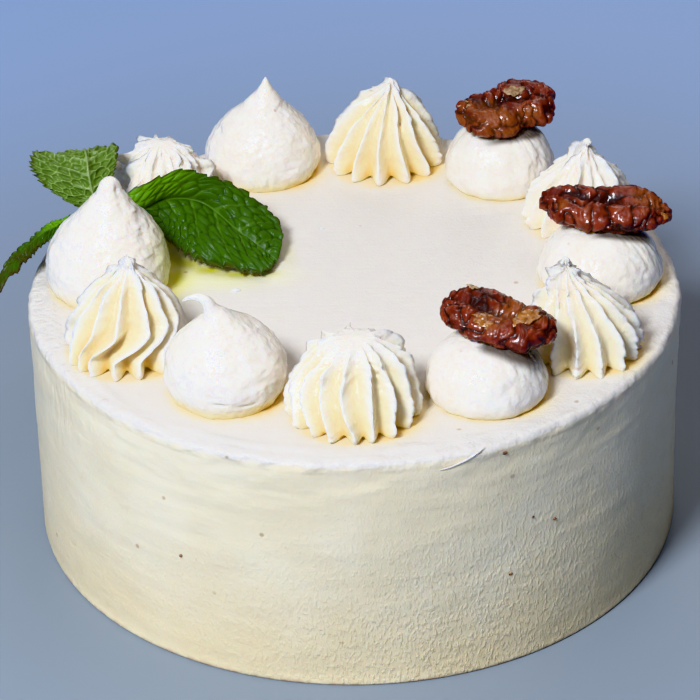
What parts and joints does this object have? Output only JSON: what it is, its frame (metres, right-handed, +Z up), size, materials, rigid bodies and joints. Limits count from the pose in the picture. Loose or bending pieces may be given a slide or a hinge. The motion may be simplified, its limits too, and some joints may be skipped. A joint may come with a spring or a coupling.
{
  "type": "banana cake",
  "caption": "Whole round layer cake in a smooth cream coat, with a ring of piped cream kisses and star rosettes, candied pecan halves and a fresh mint sprig.",
  "frame": {"origin": "centre of the cake's flat underside, on the cake's axis", "axes": "+Z up along the cake's axis, -Y towards the front, +X to the right"},
  "size_m": [0.1902, 0.1799, 0.1039],
  "materials": {
    "cream_coat": "smooth spread cream, satin, fine pits and spatula marks, slightly translucent",
    "piped_cream": "whipped cream, satin, slightly rough, translucent with warm hollows",
    "candied_pecan": "caramel glazed nut, glossy, wrinkled, dark red-brown with amber patches",
    "mint_leaf": "fresh leaf, satin, puckered between the veins, paler underside",
    "mint_stem": "fresh stem, satin, green turning dark red"
  },
  "bodies": {
    "root": {"cake_body": "cream_coat", "kiss_back": "piped_cream", "kiss_left": "piped_cream", "kiss_front": "piped_cream", "mound_back": "piped_cream", "mound_right": "piped_cream", "mound_front": "piped_cream", "rosette_back": "piped_cream", "rosette_right_back": "piped_cream", "rosette_right_front": "piped_cream", "rosette_front": "piped_cream", "rosette_left": "piped_cream", "rosette_left_back": "piped_cream", "pecan_back": "candied_pecan", "pecan_right": "candied_pecan", "pecan_front": "candied_pecan", "mint_leaf_over_top": "mint_leaf", "mint_leaf_standing": "mint_leaf", "mint_leaf_over_rim": "mint_leaf", "mint_stem": "mint_stem"}
  },
  "joints": []
}
